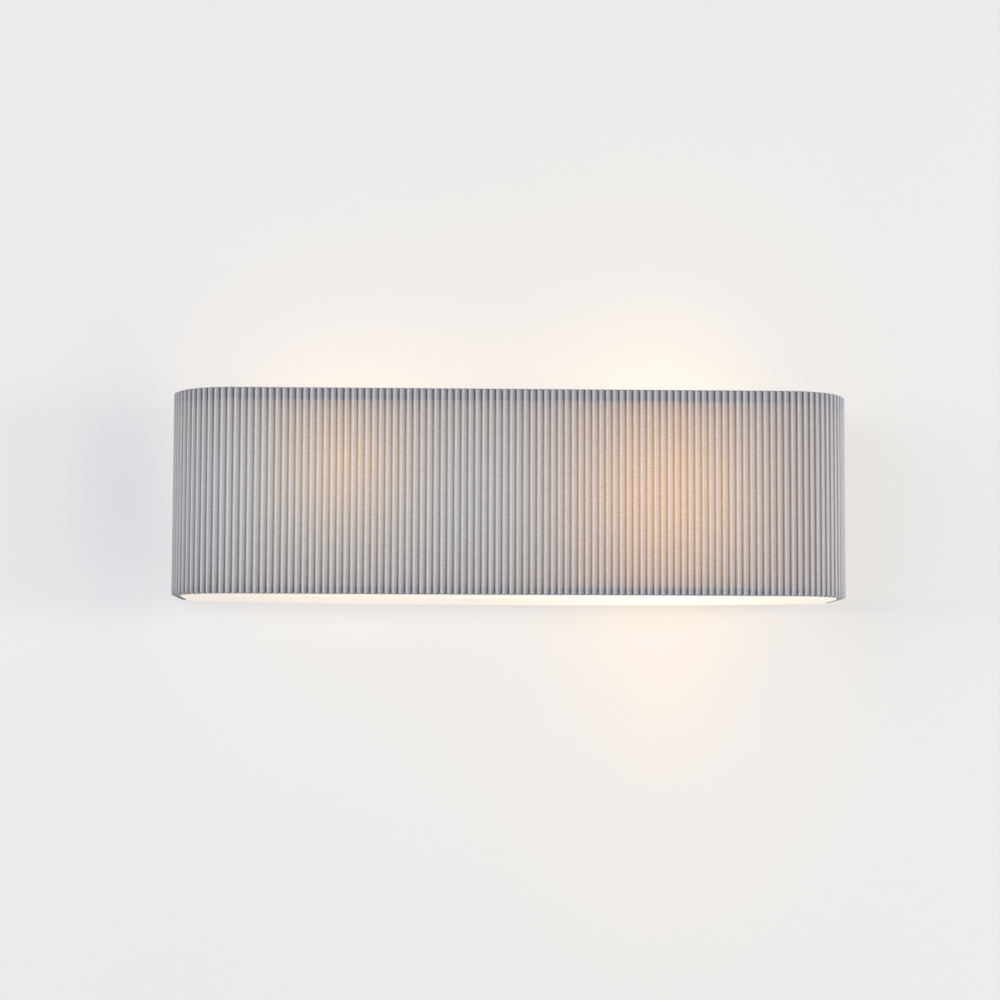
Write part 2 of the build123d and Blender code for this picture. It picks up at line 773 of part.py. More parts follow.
with BuildPart() as holder_contacts:
    with BuildSketch(lamp_plane):
        with Locations((shell_start, cap_radius + thread_gap)):
            Rectangle(
                shell_length,
                shell_radius - cap_radius - thread_gap,
                align=(Align.MIN, Align.MIN),
            )
        with Locations((seat, 0)):
            Rectangle(seat_gap / 2, contact_radius, align=(Align.MAX, Align.MIN))
    revolve(axis=lamp_axis)
export_pair(holder_contacts.part, "holder_contacts")

with BuildPart() as holder_nipples:
    with BuildSketch(Plane.YZ.offset(nipple_end)):
        with Locations((-lamp_reach, lamp_height)):
            Circle(nipple_radius)
            Circle(nipple_bore, mode=Mode.SUBTRACT)
    extrude(amount=-nipple_length)
    mirror(about=Plane.YZ)
holder_nipples.part.label = "holder_nipples"
export_step(holder_nipples.part, "parts/holder_nipples.step")

with BuildPart() as holder_locknuts:
    with BuildSketch(Plane.YZ.offset(plate_end)):
        with Locations((-lamp_reach, lamp_height)):
            RegularPolygon(locknut_flats / 2, 6, major_radius=False)
            Circle(nipple_radius, mode=Mode.SUBTRACT)
    extrude(amount=locknut_thickness)
    mirror(about=Plane.YZ)
holder_locknuts.part.label = "holder_locknuts"
export_step(holder_locknuts.part, "parts/holder_locknuts.step")

# Lamps: an opal dome, a plastic base and a screw cap with a rolled thread
dome_end = globe_centre + dome_overlap
base_end = cap_end - cap_length
dome_end_radius = math.sqrt(globe_radius**2 - dome_overlap**2)
inner_globe = globe_radius - glass_thickness
inner_end_radius = math.sqrt(inner_globe**2 - dome_overlap**2)
with BuildPart() as bulb_dome:
    with BuildSketch(lamp_plane):
        with BuildLine():
            outside = ThreePointArc(
                (globe_tip, 0),
                (globe_centre - slope * globe_radius, slope * globe_radius),
                (dome_end, dome_end_radius),
            )
            inside = ThreePointArc(
                (globe_tip + glass_thickness, 0),
                (globe_centre - slope * inner_globe, slope * inner_globe),
                (dome_end, inner_end_radius),
            )
            Line(outside @ 0, inside @ 0)
            Line(outside @ 1, inside @ 1)
        make_face()
    revolve(axis=lamp_axis)
export_pair(bulb_dome.part, "bulb_dome")

with BuildPart() as bulb_base:
    with BuildSketch(lamp_plane):
        with BuildLine():
            flank = SagittaArc((dome_end, dome_end_radius), (base_end, neck_radius), base_bulge)
            Polyline(flank @ 1, (base_end, 0), (dome_end, 0), flank @ 0)
        make_face()
    revolve(axis=lamp_axis)
export_pair(bulb_base.part, "bulb_base")

thread_start = base_end + cap_collar
with BuildPart() as bulb_cap:
    with BuildSketch(lamp_plane):
        with BuildLine():
            Polyline(
                (base_end, 0),
                (base_end, neck_radius),
                (base_end + 1, neck_radius),
                (thread_start, cap_radius - thread_depth),
            )
            for turn in range(thread_turns):
                start = thread_start + turn * thread_pitch
                ThreePointArc(
                    (start, cap_radius - thread_depth),
                    (start + thread_pitch / 2, cap_radius),
                    (start + thread_pitch, cap_radius - thread_depth),
                )
            Polyline(
                (start + thread_pitch, cap_radius - thread_depth),
                (cap_end - tip_height, contact_radius + 1),
                (cap_end - tip_height, contact_radius),
                (cap_end, contact_radius / 2),
                (cap_end, 0),
                (base_end, 0),
            )
        make_face()
    revolve(axis=lamp_axis)
export_pair(bulb_cap.part, "bulb_cap")


def lead(sign, inner_pole, outer_pole):
    """The two wires of one lampholder, side by side.

    They leave the block upwards to the right (sign 1) or downwards to the left (sign -1),
    run along the pan, come forward through its grommet and turn back into the nipple.
    """
    with BuildPart() as wires:
        for pole, shift in ((inner_pole, -lead_spacing / 2), (outer_pole, lead_spacing / 2)):
            x_pole = block_x + pole * pole_pitch
            x_exit = sign * (lead_exit + shift)
            level = sign * (lead_level + shift)
            reach = lamp_reach + shift
            with BuildLine() as route:
                FilletPolyline(
                    (x_pole, -bore_level, sign * wire_start),
                    (x_pole, -bore_level, level),
                    (x_exit, -bore_level, level),
                    (x_exit, -bore_level, lamp_height),
                    (x_exit, -reach, lamp_height),
                    (sign * (nipple_end - nipple_length - 1), -reach, lamp_height),
                    radius=[lead_bend, lead_bend + shift, lead_bend, lead_bend + shift],
                )
            with BuildSketch(Plane(origin=route.line @ 0, z_dir=route.line % 0)):
                Circle(lead_diameter / 2)
            sweep()
    return wires.part


lead_right = lead(1, 1, 0)
lead_right.label = "lead_right"
export_step(lead_right, "parts/lead_right.step")
lead_left = lead(-1, 0, 1)
lead_left.label = "lead_left"
export_step(lead_left, "parts/lead_left.step")

# Thumbscrews: knurled heads with a driver slot
with BuildPart() as thumbscrew:
    with BuildSketch(Plane.XY.offset(head_level)):
        with Locations((thumbscrew_spacing / 2, -flange_middle)):
            Circle(thumbscrew_head / 2)
            with PolarLocations(thumbscrew_head / 2, knurl_count):
                Circle(knurl_radius, mode=Mode.SUBTRACT)
    extrude(amount=thumbscrew_head_height)
    with BuildSketch(Plane.XY.offset(head_level + thumbscrew_head_height)):
        with Locations((thumbscrew_spacing / 2, -flange_middle)):
            Rectangle(thumbscrew_head + 1, driver_slot)
    extrude(amount=-2 * driver_slot, mode=Mode.SUBTRACT)
    with BuildSketch(Plane.XY.offset(head_level)):
        with Locations((thumbscrew_spacing / 2, -flange_middle)):
            Circle(m4_diameter / 2)
    extrude(amount=-thumbscrew_shank)
export_pair(thumbscrew.part, "thumbscrew")
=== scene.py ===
"""Wall light with a half shade of ribbed cloth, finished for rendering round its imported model."""

import math

import bmesh
import bpy
import numpy as np
from mathutils import Matrix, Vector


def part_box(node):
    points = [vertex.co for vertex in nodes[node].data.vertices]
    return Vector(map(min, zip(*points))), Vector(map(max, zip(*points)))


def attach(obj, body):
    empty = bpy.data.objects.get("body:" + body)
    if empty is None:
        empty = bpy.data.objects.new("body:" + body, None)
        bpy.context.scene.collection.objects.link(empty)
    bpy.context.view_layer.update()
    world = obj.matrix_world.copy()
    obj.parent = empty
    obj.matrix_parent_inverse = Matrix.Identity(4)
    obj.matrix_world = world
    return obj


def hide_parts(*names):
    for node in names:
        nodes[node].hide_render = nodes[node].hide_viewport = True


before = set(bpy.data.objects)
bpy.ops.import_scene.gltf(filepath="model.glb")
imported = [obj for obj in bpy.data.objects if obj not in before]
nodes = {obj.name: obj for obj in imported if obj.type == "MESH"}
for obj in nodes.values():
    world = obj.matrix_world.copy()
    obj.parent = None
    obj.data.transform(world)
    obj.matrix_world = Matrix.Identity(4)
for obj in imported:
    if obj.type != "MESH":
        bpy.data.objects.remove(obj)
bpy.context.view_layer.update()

# ---------------------------------------------------------------------------------------
# Camera: a long lens, 1.6 m from the wall. It stands a little left of the lamp's middle and
# 7 cm below the shade, and looks slightly up.
camera_data = bpy.data.cameras.new("camera")
camera_data.sensor_width = 36
camera_data.lens = 91.92
camera = bpy.data.objects.new("camera", camera_data)
camera.location = (-0.0511, -1.5754, -0.1298)
yaw, pitch, roll = (math.radians(angle) for angle in (-1.711, 4.824, 0.21))
camera.rotation_euler = (
    Matrix.Rotation(yaw, 3, "Z")
    @ Matrix.Rotation(math.pi / 2 + pitch, 3, "X")
    @ Matrix.Rotation(roll, 3, "Z")
).to_euler()
bpy.context.scene.collection.objects.link(camera)
bpy.context.scene.camera = camera
bpy.context.scene.view_settings.view_transform = "Standard"


# ---------------------------------------------------------------------------------------
# Room: a painted wall that carries the lamp and a pale floor well below it.
# The wall shows from the front only and the floor from above only, so that the lamp can be
# seen from all round. The light and shadow it throws on the wall are painted on, as soft pools.
class Wire:
    """One output of a material's nodes. Arithmetic on it adds Math nodes to that material."""

    def __init__(self, tree, socket=None):
        self.tree = tree
        self.socket = socket

    def node(self, kind, settings=None, inputs=None, out=0):
        """Adds a node, sets its settings, then the values or links of its sockets."""
        made = self.tree.nodes.new("ShaderNode" + kind)
        for name, value in (settings or {}).items():
            if name == "stops":
                ramp = made.color_ramp.elements
                while len(ramp) < len(value):
                    ramp.new(1.0)
                for stop, (place, colour) in zip(ramp, value):
                    stop.position = place
                    stop.color = (*colour, 1)
            else:
                setattr(made, name, value)
        for name, value in (inputs or {}).items():
            if isinstance(value, Wire):
                self.tree.links.new(value.socket, made.inputs[name])
            else:
                made.inputs[name].default_value = value
        return Wire(self.tree, made.outputs[out] if made.outputs else None)

    def math(self, operation, *others):
        """A Math node of the given operation on this wire and then the others."""
        return self.node("Math", {"operation": operation}, dict(enumerate((self, *others))))

    def __add__(self, other):
        return self.math("ADD", other)

    __radd__ = __add__

    def __sub__(self, other):
        return self.math("SUBTRACT", other)

    def __rsub__(self, other):
        return self.node("Math", {"operation": "SUBTRACT"}, {0: other, 1: self})

    def __mul__(self, other):
        return self.math("MULTIPLY", other)

    __rmul__ = __mul__

    def __truediv__(self, other):
        return self.math("DIVIDE", other)

    def __pow__(self, other):
        return self.math("POWER", other)


def start(name):
    """An empty material, and the wire that its nodes are added through."""
    made = bpy.data.materials.new(name)
    made.use_nodes = True
    made.node_tree.nodes.clear()
    return made, Wire(made.node_tree)


def show(root, shader):
    """Makes a shader the material's surface."""
    root.node("OutputMaterial", None, {"Surface": shader})


def show_front(root, shader, seen=1.0):
    """Shows a shader on a sheet's front, and leaves its back clear. seen says to which rays."""
    front = 1 - root.node("NewGeometry", out="Backfacing")
    clear = root.node("BsdfTransparent")
    show(root, root.node("MixShader", None, {0: seen * front, 1: clear, 2: shader}))


def ray_is(root, *kinds):
    """1 for a ray of any of the kinds, and 0 for all other rays."""
    found = 0.0
    for kind in kinds:
        found = root.node("LightPath", out=kind).math("MAXIMUM", found)
    return found


def mix(factor, first, second):
    """A colour between two, by a factor from 0 to 1."""
    return factor.node("Mix", {"data_type": "RGBA"}, {0: factor, 6: first, 7: second}, out=2)


def noise(root, where, scale, detail=2.0):
    """Plain noise from 0 to 1."""
    return root.node("TexNoise", None, {"Vector": where, "Scale": scale, "Detail": detail})


def bump(root, strength, depth, height):
    """A normal bent by a height, where a height of 1 stands for the depth in metres."""
    return root.node("Bump", None, {"Strength": strength, "Distance": depth, "Height": height})


def falloff(root, place, glow):
    """One over (1 + the squared distances over the sizes), to a power, in the wall's plane."""
    x0, z0, wide, tall, power = glow
    x = (root.node("SeparateXYZ", None, {"Vector": place}, out="X") - x0) / wide
    z = (root.node("SeparateXYZ", None, {"Vector": place}, out="Z") - z0) / tall
    return (1 + x * x + z * z) ** -power


def scaled(root, amount, colour):
    """A colour times an amount."""
    return root.node("VectorMath", {"operation": "SCALE"}, {0: colour, "Scale": amount})


def summed(root, first, second):
    """The sum of two colours."""
    return root.node("VectorMath", {"operation": "ADD"}, {0: first, 1: second})


def sheet_of(name, corners):
    """A flat four-sided object from its corners."""
    mesh = bpy.data.meshes.new(name)
    mesh.from_pydata(corners, [], [(0, 1, 2, 3)])
    made = bpy.data.objects.new(name, mesh)
    bpy.context.scene.collection.objects.link(made)
    return made


wall_material, root = start("wall_paint")
place = root.node("TexCoord", out="Object")
mottle = noise(root, place, 6.0, 3.0)
paint = root.node(
    "BsdfPrincipled",
    None,
    {
        "Base Color": mix(mottle, (0.815, 0.812, 0.81, 1), (0.845, 0.842, 0.838, 1)),
        "Roughness": 0.9,
        "Specular IOR Level": 0.1,
        "Normal": bump(root, 0.05, 0.001, noise(root, place, 300.0)),
    },
)
# Each pool is a place across and up, a size across and up, and how steeply it falls off
lamp_place = 0.097
over_left_lamp = falloff(root, place, (-lamp_place, 0.04, 0.115, 0.085, 1.8))
over_right_lamp = falloff(root, place, (lamp_place, 0.04, 0.10, 0.10, 2.5))
under_left_lamp = falloff(root, place, (-lamp_place, -0.075, 0.12, 0.012, 1.0))
under_right_lamp = falloff(root, place, (lamp_place, -0.06, 0.055, 0.10, 1.0))
left_shadow = falloff(root, place, (-0.235, 0.01, 0.05, 0.10, 2.0))
rim_shadow = falloff(root, place, (0.07, -0.0625, 0.22, 0.004, 2.0))
glow = scaled(root, over_left_lamp, (0.39, 0.25, 0.13))
glow = summed(root, glow, scaled(root, over_right_lamp, (0.33, 0.26, 0.14)))
glow = summed(root, glow, scaled(root, under_left_lamp, (0.08, 0.09, 0.10)))
glow = summed(root, glow, scaled(root, under_right_lamp, (0.20, 0.06, -0.06)))
glow = summed(root, glow, scaled(root, left_shadow, (-0.16, -0.12, -0.03)))
glow = summed(root, glow, scaled(root, rim_shadow, (-0.10, -0.09, -0.06)))
glow = summed(root, glow, (0.776, 0.778, 0.778))
pale = root.node(
    "BsdfPrincipled",
    None,
    {
        "Base Color": (0, 0, 0, 1),
        "Specular IOR Level": 0.0,
        "Emission Color": glow,
        "Emission Strength": 1.0,
    },
)
painted_share = 0.7
bright_paint = root.node("MixShader", None, {0: painted_share, 1: paint, 2: pale})
seen = ray_is(root, "Is Camera Ray", "Is Glossy Ray", "Is Transmission Ray")
show_front(root, bright_paint, seen)

# The wall's sheet stands a hair behind the back of the lamp
wall_place = 0.0004
floor_level = -0.6
wall_ends = [(-3, floor_level), (3, floor_level), (3, 3), (-3, 3)]
wall = sheet_of("wall", [(x, wall_place, z) for x, z in wall_ends])
wall.data.materials.append(wall_material)

floor_material, root = start("floor_paint")
mottle = noise(root, root.node("TexCoord", out="Object"), 4.0, 3.0)
paint = root.node(
    "BsdfPrincipled",
    None,
    {
        "Base Color": mix(mottle, (0.80, 0.80, 0.79, 1), (0.84, 0.84, 0.83, 1)),
        "Roughness": 0.8,
        "Specular IOR Level": 0.2,
    },
)
show_front(root, paint)
floor_ends = [(-4, -4), (4, -4), (4, 4), (-4, 4)]
floor = sheet_of("floor", [(x, y, floor_level) for x, y in floor_ends])
floor.data.materials.append(floor_material)

world = bpy.data.worlds.new("room")
bpy.context.scene.world = world
world.use_nodes = True
world.node_tree.nodes.clear()
root = Wire(world.node_tree)
seen = ray_is(root, "Is Camera Ray", "Is Glossy Ray")
air = root.node("Background", None, {"Color": (0.98, 0.99, 1.0, 1), "Strength": 0.52})
haze = root.node("Background", None, {"Color": (0.84, 0.84, 0.84, 1), "Strength": 1.0})
root.node("OutputWorld", None, {"Surface": root.node("MixShader", None, {0: seen, 1: air, 2: haze})})


def soft_light(name, place, width, height, power, colour):
    """A rectangular light that faces the middle of the lamp."""
    data = bpy.data.lights.new(name, "AREA")
    data.shape = "RECTANGLE"
    data.size, data.size_y = width, height
    data.energy = power
    data.color = colour
    made = bpy.data.objects.new(name, data)
    made.location = place
    made.rotation_euler = (-made.location).to_track_quat("-Z", "Y").to_euler()
    made.visible_camera = False
    bpy.context.scene.collection.objects.link(made)


soft_light("window_light", (-1.7, -1.9, 0.8), 2.4, 2.0, 27.0, (1.0, 1.0, 1.0))
soft_light("left_light", (-1.9, -0.7, 0.1), 0.85, 0.60, 9.0, (1.0, 1.0, 1.0))
soft_light("right_light", (1.70, -1.05, 0.02), 0.85, 0.40, 18.0, (1.0, 0.99, 0.97))


# ---------------------------------------------------------------------------------------
# Wall bracket: a pressed steel strap, zinc plated and passivated, with two pressed-in studs.
# It is screwed to the wall through its slots.
def surface(root, inputs):
    """Makes a Principled shader with the given inputs the material's surface."""
    show(root, root.node("BsdfPrincipled", None, inputs))


def metal(name, colour, roughness, grain, spread=0.10):
    """A plated or plain metal whose colour and gloss vary from crystal to crystal."""
    made, root = start(name)
    place = root.node("TexCoord", out="Object")
    crystal = root.node("TexVoronoi", None, {"Vector": place, "Scale": grain}, out="Color")
    tone = root.node("SeparateColor", None, {"Color": crystal})
    handled = noise(root, place, 60.0, 4.0)
    dull = [c * (1 - spread) for c in colour]
    bright = [min(1.0, c * (1 + spread)) for c in colour]
    surface(
        root,
        {
            "Base Color": mix(0.6 * tone + 0.4 * handled, (*dull, 1), (*bright, 1)),
            "Metallic": 1.0,
            "Roughness": roughness * (0.8 + 0.4 * handled),
            "Normal": bump(root, 0.15, 0.0001, noise(root, place, 2500.0)),
        },
    )
    return made


def finish(material, *names):
    """Gives CAD nodes their material."""
    for name in names:
        nodes[name].material_slots[0].material = material


zinc = metal("zinc_plate", (0.66, 0.67, 0.69), 0.34, 420.0)
finish(zinc, "wall_bracket", "bracket_studs", "clinch_nuts", "holder_nipples", "holder_locknuts")

# ---------------------------------------------------------------------------------------
# Grommets: black rubber bushes, moulded, where the supply and the leads pass through steel.
rubber, root = start("rubber")
place = root.node("TexCoord", out="Object")
bloom = noise(root, place, 180.0, 4.0)
surface(
    root,
    {
        "Base Color": mix(bloom, (0.018, 0.018, 0.019, 1), (0.045, 0.045, 0.046, 1)),
        "Roughness": 0.55 + 0.25 * bloom,
        "Normal": bump(root, 0.3, 0.0002, noise(root, place, 1500.0)),
    },
)
finish(rubber, "cable_grommet", "lead_grommets")


# ---------------------------------------------------------------------------------------
# Terminal block: moulded in natural nylon, with brass tubes and bright steel screws.
def moulded(name, colour, roughness, shade=0.05, coat=0.0):
    """A moulded plastic: faint flow marks in its colour and a fine grain on its skin."""
    made, root = start(name)
    place = root.node("TexCoord", out="Object")
    flow = noise(root, place, 35.0, 3.0)
    deep = [c * (1 - shade) for c in colour]
    surface(
        root,
        {
            "Base Color": mix(flow, (*deep, 1), (*colour, 1)),
            "Roughness": roughness * (0.85 + 0.3 * flow),
            "Coat Weight": coat,
            "Normal": bump(root, 0.12, 0.0001, noise(root, place, 1800.0)),
        },
    )
    return made


finish(moulded("nylon", (0.86, 0.85, 0.79), 0.45), "terminal_block")
brass = metal("brass", (0.80, 0.62, 0.30), 0.28, 700.0, 0.07)
finish(brass, "terminal_inserts", "holder_contacts_left", "holder_contacts_right", "earth_screw")
nickel = metal("nickel_plate", (0.74, 0.73, 0.70), 0.22, 900.0, 0.06)
finish(
    nickel,
    "terminal_screws",
    "terminal_block_screw",
    "pan_nuts",
    "bracket_screws",
    "thumbscrew_left",
    "thumbscrew_right",
)

# ---------------------------------------------------------------------------------------
# Earth lead: stranded wire in green insulation with a yellow stripe, crimped into a tinned tag.
earth_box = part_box("earth_screw")
tag_margin, tag_reach = 0.001, 0.0075
stripe_place = -0.0093
earth_wire, root = start("earth_wire")
place = root.node("TexCoord", out="Object")
across = root.node("SeparateXYZ", None, {"Vector": place}, out="X")
depth = root.node("SeparateXYZ", None, {"Vector": place}, out="Y")
level = root.node("SeparateXYZ", None, {"Vector": place}, out="Z")
at_tag = across.math("LESS_THAN", earth_box[1].x + tag_margin)
at_tag = at_tag * level.math("GREATER_THAN", earth_box[0].z - tag_reach)
behind_stripe = depth.math("GREATER_THAN", stripe_place)
insulation = mix(behind_stripe, (0.75, 0.62, 0.03, 1), (0.04, 0.26, 0.06, 1))
surface(
    root,
    {
        "Base Color": mix(at_tag, insulation, (0.72, 0.71, 0.69, 1)),
        "Metallic": at_tag,
        "Roughness": 0.42 - 0.12 * at_tag,
        "Normal": bump(root, 0.1, 0.0001, noise(root, place, 900.0)),
    },
)
finish(earth_wire, "earth_lead")


# ---------------------------------------------------------------------------------------
# Back pan: folded from 1 mm steel and powder coated white, inside and out, as a reflector.
# The holders' angle brackets and the shade's carrier strip have the same coat.
def powder_coat(name, colour):
    """A baked powder coat: a soft orange peel, and a slightly uneven satin gloss."""
    made, root = start(name)
    place = root.node("TexCoord", out="Object")
    cloud = noise(root, place, 18.0, 4.0)
    peel = noise(root, place, 750.0, 1.0)
    thin = [c * 0.95 for c in colour]
    surface(
        root,
        {
            "Base Color": mix(cloud, (*thin, 1), (*colour, 1)),
            "Roughness": 0.34 + 0.14 * cloud,
            "Specular IOR Level": 0.45,
            "Normal": bump(root, 0.25, 0.0002, peel),
        },
    )
    return made


white_coat = powder_coat("white_powder_coat", (0.86, 0.86, 0.84))
finish(white_coat, "back_pan", "holder_bracket_left", "holder_bracket_right", "shade_carrier")

# ---------------------------------------------------------------------------------------
# Lampholders: white heat resistant plastic with a threaded shell, held by hollow nipples.
# The leads are single cores in clear-white insulation.
holder_plastic = moulded("holder_plastic", (0.84, 0.83, 0.80), 0.38, 0.04, 0.1)
finish(holder_plastic, "lampholder_left", "lampholder_right")
finish(moulded("lead_insulation", (0.78, 0.78, 0.75), 0.40, 0.08), "lead_left", "lead_right")

# ---------------------------------------------------------------------------------------
# Lamps: small globes with an opal plastic dome, a white base and a plated screw cap.
# The cap's end is a black glass insulator round a tin contact.
# Each lamp's light comes from a ball a little larger than its dome, which would block it.
glow_margin = 0.0015
for side, sign, power in (("left", -1, 0.06), ("right", 1, 0.09)):
    dome_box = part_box("bulb_dome_" + side)
    middle = (dome_box[0] + dome_box[1]) / 2
    radius = (dome_box[1].z - dome_box[0].z) / 2
    tip = min(abs(dome_box[0].x), abs(dome_box[1].x))
    glow = bpy.data.lights.new("lamp_glow_" + side, "POINT")
    glow.energy = power
    glow.color = (1.0, 0.60, 0.30)
    glow.shadow_soft_size = radius + glow_margin
    lit = bpy.data.objects.new("lamp_glow_" + side, glow)
    lit.location = (sign * (tip + radius), middle.y, middle.z)
    lit.visible_camera = False
    lit.visible_glossy = False
    bpy.context.scene.collection.objects.link(lit)

opal, root = start("opal_dome")
place = root.node("TexCoord", out="Object")
along = root.node("SeparateXYZ", None, {"Vector": place}, out="X").math("ABSOLUTE")
back = root.node("MapRange", None, {0: along, 1: tip, 2: tip + 1.25 * radius})
haze = noise(root, place, 90.0, 3.0)
surface(
    root,
    {
        "Base Color": mix(haze, (0.84, 0.82, 0.78, 1), (0.90, 0.88, 0.84, 1)),
        "Roughness": 0.30 + 0.10 * haze,
        "Emission Color": mix(back, (0.62, 0.50, 0.34, 1), (0.40, 0.27, 0.14, 1)),
        "Emission Strength": 1.0,
    },
)
finish(opal, "bulb_dome_left", "bulb_dome_right")
lamp_plastic = moulded("lamp_base_plastic", (0.85, 0.85, 0.83), 0.35, 0.03, 0.2)
finish(lamp_plastic, "bulb_base_left", "bulb_base_right")

cap_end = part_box("bulb_cap_right")[1].x
insulator_run, contact_run = 0.0062, 0.0016
cap_metal, root = start("lamp_cap")
place = root.node("TexCoord", out="Object")
along = root.node("SeparateXYZ", None, {"Vector": place}, out="X").math("ABSOLUTE")
contact = along.math("GREATER_THAN", cap_end - contact_run)
insulator = along.math("GREATER_THAN", cap_end - insulator_run) * (1 - contact)
scuff = noise(root, place, 240.0, 3.0)
shell_tone = mix(scuff, (0.66, 0.65, 0.62, 1), (0.80, 0.79, 0.76, 1))
surface(
    root,
    {
        "Base Color": mix(insulator, shell_tone, (0.01, 0.01, 0.012, 1)),
        "Metallic": 1 - insulator,
        "Roughness": 0.18 + 0.18 * scuff,
    },
)
finish(cap_metal, "bulb_cap_left", "bulb_cap_right")

# ---------------------------------------------------------------------------------------
# Wire frame: two D shaped rings and two uprights of 2 mm steel wire, welded and dipped white.
wire_coat = powder_coat("white_wire_coat", (0.84, 0.84, 0.82))
finish(wire_coat, "top_ring", "bottom_ring", "upright_left", "upright_right")

# ---------------------------------------------------------------------------------------
# Liner: a stiff white translucent sheet that the cloth is glued to, bent round the rings.
# Its inside is lit by the lamps, and their light on it is also painted on as a glow.
shade_width, shade_depth, shade_height = 0.400, 0.100, 0.120
corner_radius = 0.039
wall_gap = 0.001
liner_inset, liner_thickness, liner_setback = 0.00172, 0.00058, 0.0003
side_run = shade_depth - wall_gap - corner_radius
corner_run = math.pi / 2 * corner_radius
front_run = shade_width - 2 * corner_radius
skin_run = 2 * side_run + 2 * corner_run + front_run


def plan(run, inset):
    """Plan of the shade at a distance along its skin, inset behind it.

    The skin runs forward along the left side, round a quarter circle, along the front, round
    the other quarter circle and back. At every run the point is the centre of the nearest
    corner, carried along the straights, plus the radius less the inset in the direction
    that the skin faces, which turns from -X through -Y to +X.
    """
    left = np.clip(run, 0, side_run)
    turn = np.clip(run - side_run, 0, corner_run)
    front = np.clip(run - side_run - corner_run, 0, front_run)
    turn = turn + np.clip(run - side_run - corner_run - front_run, 0, corner_run)
    right = np.clip(run - side_run - 2 * corner_run - front_run, 0, side_run)
    facing = math.pi + turn / corner_radius
    reach = corner_radius - inset
    x = front - front_run / 2 + reach * np.cos(facing)
    y = corner_radius - shade_depth + side_run - left + right + reach * np.sin(facing)
    return x, y


def lofted(name, run, inset, height, across, up):
    """A closed band: section rings side by side along the skin, with flat ends.

    run, inset and height are arrays with one row for each section along the skin and one
    column for each corner of the closed section. across and up are the cloth's own
    coordinates in metres, kept as the UV map.
    """
    x, y = plan(run, inset)
    points = np.stack([x, y, height], -1)
    rows, columns = inset.shape
    here = np.arange(rows * columns).reshape(rows, columns)
    beside = np.roll(here, -1, axis=1)
    faces = np.stack([here[:-1], beside[:-1], beside[1:], here[1:]], -1).reshape(-1, 4)
    mesh = bpy.data.meshes.new(name)
    caps = [here[0][::-1].tolist(), here[-1].tolist()]
    mesh.from_pydata(points.reshape(-1, 3), [], faces.tolist() + caps)
    corner = np.empty(len(mesh.loops), np.int32)
    mesh.loops.foreach_get("vertex_index", corner)
    layer = mesh.uv_layers.new(name="cloth")
    flat = np.stack([across, up], -1).reshape(-1, 2)[corner]
    layer.uv.foreach_set("vector", flat.astype(np.float32).ravel())
    mesh.polygons.foreach_set("use_smooth", np.ones(len(mesh.polygons), bool))
    shell = bmesh.new()
    shell.from_mesh(mesh)
    bmesh.ops.recalc_face_normals(shell, faces=shell.faces)
    shell.to_mesh(mesh)
    shell.free()
    made = bpy.data.objects.new(name, mesh)
    bpy.context.scene.collection.objects.link(made)
    return made


liner_step = 0.0022
stations = np.linspace(0, skin_run, round(skin_run / liner_step) + 1)
run = np.repeat(stations[:, None], 4, axis=1)
inset = 0 * run + liner_inset + liner_thickness * np.array([0, 0, 1, 1])
height = 0 * run + (shade_height / 2 - liner_setback) * np.array([-1, 1, 1, -1])
liner = lofted("liner", run, inset, height, run, height)
liner_bevel = liner.modifiers.new("soft_edges", "BEVEL")
liner_bevel.width = 0.0001
liner_bevel.segments = 1
liner_bevel.limit_method = "ANGLE"
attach(liner, "shade")
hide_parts("shade_liner")

# How the two lamps' light is painted on the shade: each glow falls off with the distance from its
# middle
left_glow = (-0.099, 0.014, 0.046, 0.046, 1.15)
right_glow = (0.091, 0.0, 0.093, 0.093, 2.45)

liner_sheet, root = start("liner_sheet")
place = root.node("TexCoord", out="Object")
haze = noise(root, place, 40.0, 3.0)
# Painted light: the lamps' glow on the liner, given as emission
lamp_light = summed(
    root,
    scaled(root, falloff(root, place, left_glow), (0.16, 0.09, 0.03)),
    scaled(root, falloff(root, place, right_glow), (0.20, 0.11, 0.035)),
)
surface(
    root,
    {
        "Base Color": mix(haze, (0.82, 0.81, 0.78, 1), (0.87, 0.86, 0.83, 1)),
        "Roughness": 0.55 + 0.15 * haze,
        "Emission Color": lamp_light,
        "Emission Strength": 1.0,
    },
)
liner.data.materials.append(liner_sheet)

# ---------------------------------------------------------------------------------------
# Ribbed skin: grey woven cloth pressed into 141 round ribs and glued to the liner.
# Slubs run across it. Shade and highlight along each rib are painted into its tone, and the
# lamps' light through it is painted on as a glow, most where the cloth is thinnest.
rib_count = 141
rib_depth = 0.0013
rib_pitch = skin_run / rib_count
rib_radius = (rib_pitch**2 / 4 + rib_depth**2) / (2 * rib_depth)
rib_length = 2 * rib_radius * math.asin(rib_pitch / 2 / rib_radius)
rib_parts = 10
rim_round, rim_setback = 0.0011, 0.00025
rim_scallop, scallop_start, scallop_run = 0.0009, 0.050, 0.010
lean_spread, fullness_spread, wander_size = 0.02, 0.035, 0.00004
draw = np.random.default_rng(7)


def ripple(phase):
    """Height of a rib over its valleys, from 0 to 1: a circular arc over one pitch."""
    chord = (phase - 0.5) * rib_pitch
    return (np.sqrt(rib_radius**2 - chord**2) - rib_radius + rib_depth) / rib_depth


